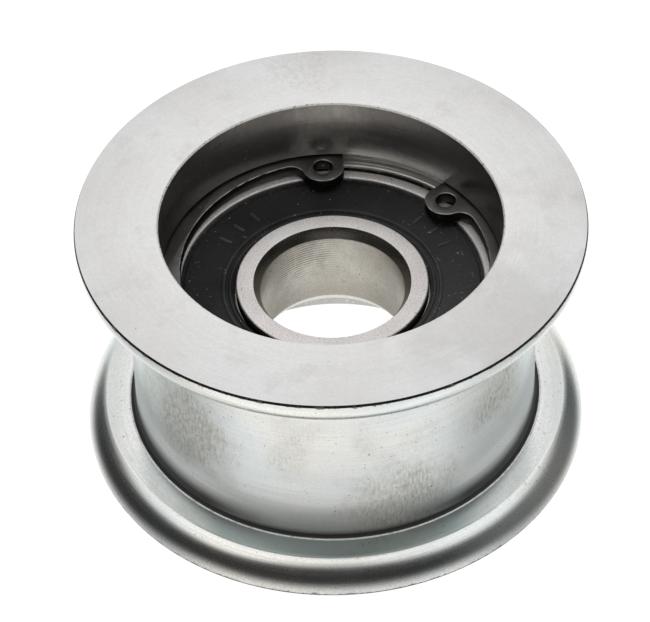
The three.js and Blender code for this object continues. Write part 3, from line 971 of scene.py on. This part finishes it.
def clip_outline():
    """The ring's outline, its gap on +X: from the back along the inner edge, round the ear and outside."""
    ear = ear_centre(1)
    inner = Vector((CLIP_INNER_OFFSET, 0))
    fillet = circle_meeting(inner, CLIP_INNER_R - EAR_FILLET_R, ear, EAR_R + EAR_FILLET_R)
    inner_end = math.atan2(fillet.y - inner.y, fillet.x - inner.x)
    fillet_end = math.atan2(ear.y - fillet.y, ear.x - fillet.x)
    end_face_r = math.sqrt(CLIP_R**2 - EAR_R**2)
    half = [
        *arc(inner.x, inner.y, CLIP_INNER_R, math.pi, inner_end, 96),
        *arc(fillet.x, fillet.y, EAR_FILLET_R, inner_end, fillet_end, 12)[1:],
        *arc(ear.x, ear.y, EAR_R, fillet_end + math.pi, EAR_ANGLE + 1.5 * math.pi, 40)[1:],
        *arc(0, 0, CLIP_R, EAR_ANGLE - math.atan2(EAR_R, end_face_r), math.pi, 112),
    ]
    other_half = [(x, -y) for x, y in reversed(half)]
    return half + other_half[1:-1]


# The upright part of a face's normal, above which it is flat or edge; below them it is a sheared side.
CLIP_FLAT = 0.99
CLIP_SHEARED = 0.15


def retaining_ring():
    """The flat outline and its two holes as a filled curve, thickened with rounded edges."""
    thickness = CLIP_TOP - CLIP_LOW
    shape = bpy.data.curves.new("clip_outline", "CURVE")
    shape.dimensions = "2D"
    shape.fill_mode = "BOTH"
    shape.extrude = (thickness / 2 - CLIP_EDGE) * MM
    shape.bevel_depth = CLIP_EDGE * MM
    shape.bevel_resolution = 2
    shape.offset = -CLIP_EDGE * MM
    holes = [arc(*ear_centre(side), EAR_HOLE_R, 0, -FULL_TURN, 48)[:-1] for side in (1, -1)]
    for points in (clip_outline(), *holes):
        spline = shape.splines.new("POLY")
        spline.use_cyclic_u = True
        spline.points.add(len(points) - 1)
        for knot, (x, y) in zip(spline.points, points):
            knot.co = (x * MM, y * MM, 0, 1)
    drawn = bpy.data.objects.new("clip_outline", shape)
    made = bmesh.new()
    made.from_mesh(bpy.data.meshes.new_from_object(drawn))
    bpy.data.objects.remove(drawn)
    bmesh.ops.remove_doubles(made, verts=made.verts, dist=1e-7)
    raised = Matrix.Translation((0, 0, (CLIP_LOW + CLIP_TOP) / 2 * MM))
    made.transform(raised @ Matrix.Rotation(CLIP_GAP_ANGLE, 4, "Z"))
    made.normal_update()
    finishes = [
        black_spring_steel("black_spring_steel", shade=1.0),
        worn_edge(),
        # The sheared sides get a darker copy of the black steel: painted shade.
        black_spring_steel("black_sheared_painted_shade", shade=0.35),
    ]
    flat, edge, sheared = range(len(finishes))
    for face in made.faces:
        tilt = abs(face.normal.z)
        face.material_index = flat if tilt > CLIP_FLAT else edge if tilt > CLIP_SHEARED else sheared
    mesh = to_mesh("spring_clip", made)
    put_in_frame("spring_clip", mesh, finishes, "roller", "retaining_ring", angle=50)


roller()
outer_ring()
inner_ring()
seals()
mould_ticks()
balls()
cage()
retaining_ring()

# ---- Camera, light and stage ----------------------------------------------------------------

CAMERA_PITCH = math.radians(45.057)
CAMERA_ROLL = math.radians(1.572)
CAMERA_DISTANCE = 543.88
CAMERA_ACROSS = -1.121
CAMERA_ALONG = -12.332
LENS = 221.54


def camera():
    """Looks along +Y and down, with the roller's top face as its aim."""
    sin_p, cos_p = math.sin(CAMERA_PITCH), math.cos(CAMERA_PITCH)
    sin_r, cos_r = math.sin(CAMERA_ROLL), math.cos(CAMERA_ROLL)
    right = Vector((cos_r, -sin_r * sin_p, -sin_r * cos_p))
    up = Vector((sin_r, cos_r * sin_p, cos_r * cos_p))
    back = Vector((0, -cos_p, sin_p))
    place = Vector((CAMERA_ACROSS, 0, TOP))
    place += CAMERA_ALONG * Vector((0, sin_p, cos_p)) + CAMERA_DISTANCE * back
    data = bpy.data.cameras.new("camera")
    data.lens = LENS
    data.clip_start = 0.05
    made = bpy.data.objects.new("camera", data)
    axes = Matrix((right, up, back)).transposed().to_4x4()
    made.matrix_world = Matrix.Translation(place * MM) @ axes
    bpy.context.scene.collection.objects.link(made)
    bpy.context.scene.camera = made


FLOOR_GAP = 0.02
FLOOR_HALF_SIZE = 6
FLOOR_DIFFUSE = 0.1


def floor():
    """Pale and lit from below. Metal reflects the studio below the horizon instead of it."""
    material = bpy.data.materials.new("floor")
    material.use_nodes = True
    surface = material.node_tree.nodes["Principled BSDF"]
    surface.inputs["Base Color"].default_value = (FLOOR_DIFFUSE, FLOOR_DIFFUSE, FLOOR_DIFFUSE, 1)
    surface.inputs["Roughness"].default_value = 0.9
    surface.inputs["Specular IOR Level"].default_value = 0
    surface.inputs["Emission Color"].default_value = (1, 1, 1, 1)
    surface.inputs["Emission Strength"].default_value = 1.0
    made = bmesh.new()
    bmesh.ops.create_grid(made, x_segments=1, y_segments=1, size=FLOOR_HALF_SIZE)
    bmesh.ops.translate(made, verts=made.verts, vec=(0, 0, (BOTTOM - FLOOR_GAP) * MM))
    mesh = to_mesh("studio_floor", made)
    mesh.materials.append(material)
    laid = bpy.data.objects.new("studio_floor", mesh)
    bpy.context.scene.collection.objects.link(laid)
    laid.visible_glossy = False


# Light from the dark cards, everywhere and more of it on the right.
DARK = 0.035
DARK_RIGHT = 0.15
# By the angle from the camera's side: the dark cards' lower and upper edge, in degrees, and the
# brightness of the sky above them and of the table below them.
STUDIO = (
    (0, -21, 56, 0.93, 1.17),
    (28, -22, 49, 1.12, 1.15),
    (56, -24, 37, 1.2, 1.24),
    (80, -28, 34, 1.2, 0.86),
    (105, -29, 34, 1.18, 0.86),
    (125, -21, 37, 1.08, 0.92),
    (140, -2, 22, 0.98, 1.08),
    (150, 20, -10, 0.93, 1.2),
    (165, 5, 5, 0.9, 1.2),
    (180, -3, 12, 0.9, 1.2),
)
LOWER, UPPER, SKY, TABLE = range(1, 5)
ANGLE_SCALE = 90
LIGHT_SCALE = 2
SKY_EDGE = (-9, 11)
TABLE_EDGE = (-16, 30)
RIGHT_EDGE = (0.6, 1.0)


class Studio:
    """The world: a white studio with a lit table and soft dark cards. The camera sees plain white."""

    def __init__(self):
        self.world = bpy.data.worlds.new("studio")
        self.world.use_nodes = True
        self.nodes = self.world.node_tree.nodes
        self.links = self.world.node_tree.links
        bpy.context.scene.world = self.world

    def math(self, operation, a, b=0.0):
        made = self.nodes.new("ShaderNodeMath")
        made.operation = operation
        for socket, value in zip(made.inputs, (a, b)):
            if isinstance(value, bpy.types.NodeSocket):
                self.links.new(value, socket)
            else:
                socket.default_value = value
        return made.outputs[0]

    def drawn(self, turn, column, scale):
        """One column of STUDIO by the angle from the camera's side; the curve's own range is 0 to 1."""
        curve = self.nodes.new("ShaderNodeFloatCurve")
        points = curve.mapping.curves[0].points
        rows = [(row[0] / 180, row[column] / scale / 2 + 0.5) for row in STUDIO]
        points[0].location = rows[0]
        points[1].location = rows[-1]
        for row in rows[1:-1]:
            points.new(*row)
        curve.mapping.update()
        self.links.new(self.math("DIVIDE", turn, 180), curve.inputs["Value"])
        return self.math("MULTIPLY", self.math("SUBTRACT", curve.outputs[0], 0.5), 2 * scale)

    def ramp(self, value, low, high):
        """0 below low and 1 above high, softly."""
        made = self.nodes.new("ShaderNodeMapRange")
        made.interpolation_type = "SMOOTHSTEP"
        self.links.new(value, made.inputs["Value"])
        made.inputs["From Min"].default_value = low
        made.inputs["From Max"].default_value = high
        return made.outputs["Result"]

    def build(self):
        split = self.nodes.new("ShaderNodeSeparateXYZ")
        self.links.new(self.nodes.new("ShaderNodeTexCoord").outputs["Generated"], split.inputs[0])
        x, y, z = split.outputs
        degrees = 180 / math.pi
        height = self.math("MULTIPLY", self.math("ARCSINE", z), degrees)
        towards = self.math("MULTIPLY", y, -1.0)
        turn = self.math("MULTIPLY", self.math("ABSOLUTE", self.math("ARCTAN2", x, towards)), degrees)
        above = self.math("SUBTRACT", height, self.drawn(turn, UPPER, ANGLE_SCALE))
        below = self.math("SUBTRACT", self.drawn(turn, LOWER, ANGLE_SCALE), height)
        sky = self.math("MULTIPLY", self.ramp(above, *SKY_EDGE), self.drawn(turn, SKY, LIGHT_SCALE))
        table = self.math("MULTIPLY", self.ramp(below, *TABLE_EDGE), self.drawn(turn, TABLE, LIGHT_SCALE))
        right = self.math("MULTIPLY", self.ramp(x, *RIGHT_EDGE), DARK_RIGHT)
        light = self.math("ADD", self.math("MAXIMUM", sky, table), self.math("ADD", right, DARK))
        seen = self.nodes.new("ShaderNodeLightPath").outputs["Is Camera Ray"]
        strength = self.math("MAXIMUM", light, seen)
        self.links.new(strength, self.nodes["Background"].inputs["Strength"])
        self.nodes["Background"].inputs["Color"].default_value = (1, 1, 1, 1)


camera()
floor()
Studio().build()
bpy.context.scene.view_settings.view_transform = "Standard"
